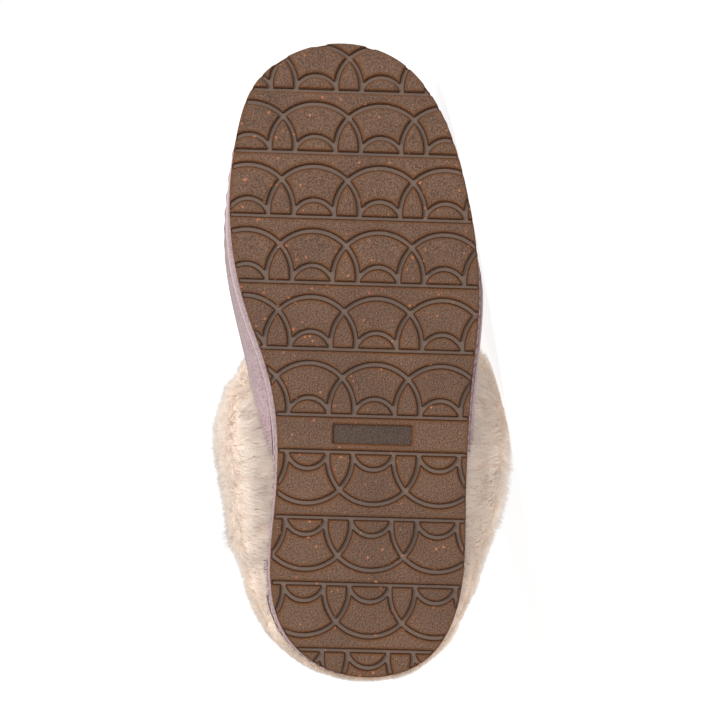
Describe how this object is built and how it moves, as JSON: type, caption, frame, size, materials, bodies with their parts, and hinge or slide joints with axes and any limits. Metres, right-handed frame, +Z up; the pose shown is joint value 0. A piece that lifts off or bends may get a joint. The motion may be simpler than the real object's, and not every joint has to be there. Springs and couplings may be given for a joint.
{
  "type": "clog slipper",
  "caption": "Left clog slipper lying on its outer side: treaded gum-rubber sole, suede rand and hollow upper, deep shearling cuff and fleece footbed.",
  "frame": {"origin": "middle of the footprint on the floor that the shoe lies on", "axes": "+Z up, +X towards the toe end, +Y from the tread towards the collar; the outer side of the shoe is down"},
  "size_m": [0.2736, 0.0986, 0.1291],
  "materials": {
    "gum_rubber": "satin",
    "lilac_suede": "matte",
    "cream_shearling": "matte",
    "cream_fleece": "matte"
  },
  "bodies": {
    "root": {"outsole": "gum_rubber", "rand": "lilac_suede", "upper": "lilac_suede", "fur_cuff": "cream_shearling", "footbed": "cream_fleece"}
  },
  "joints": []
}
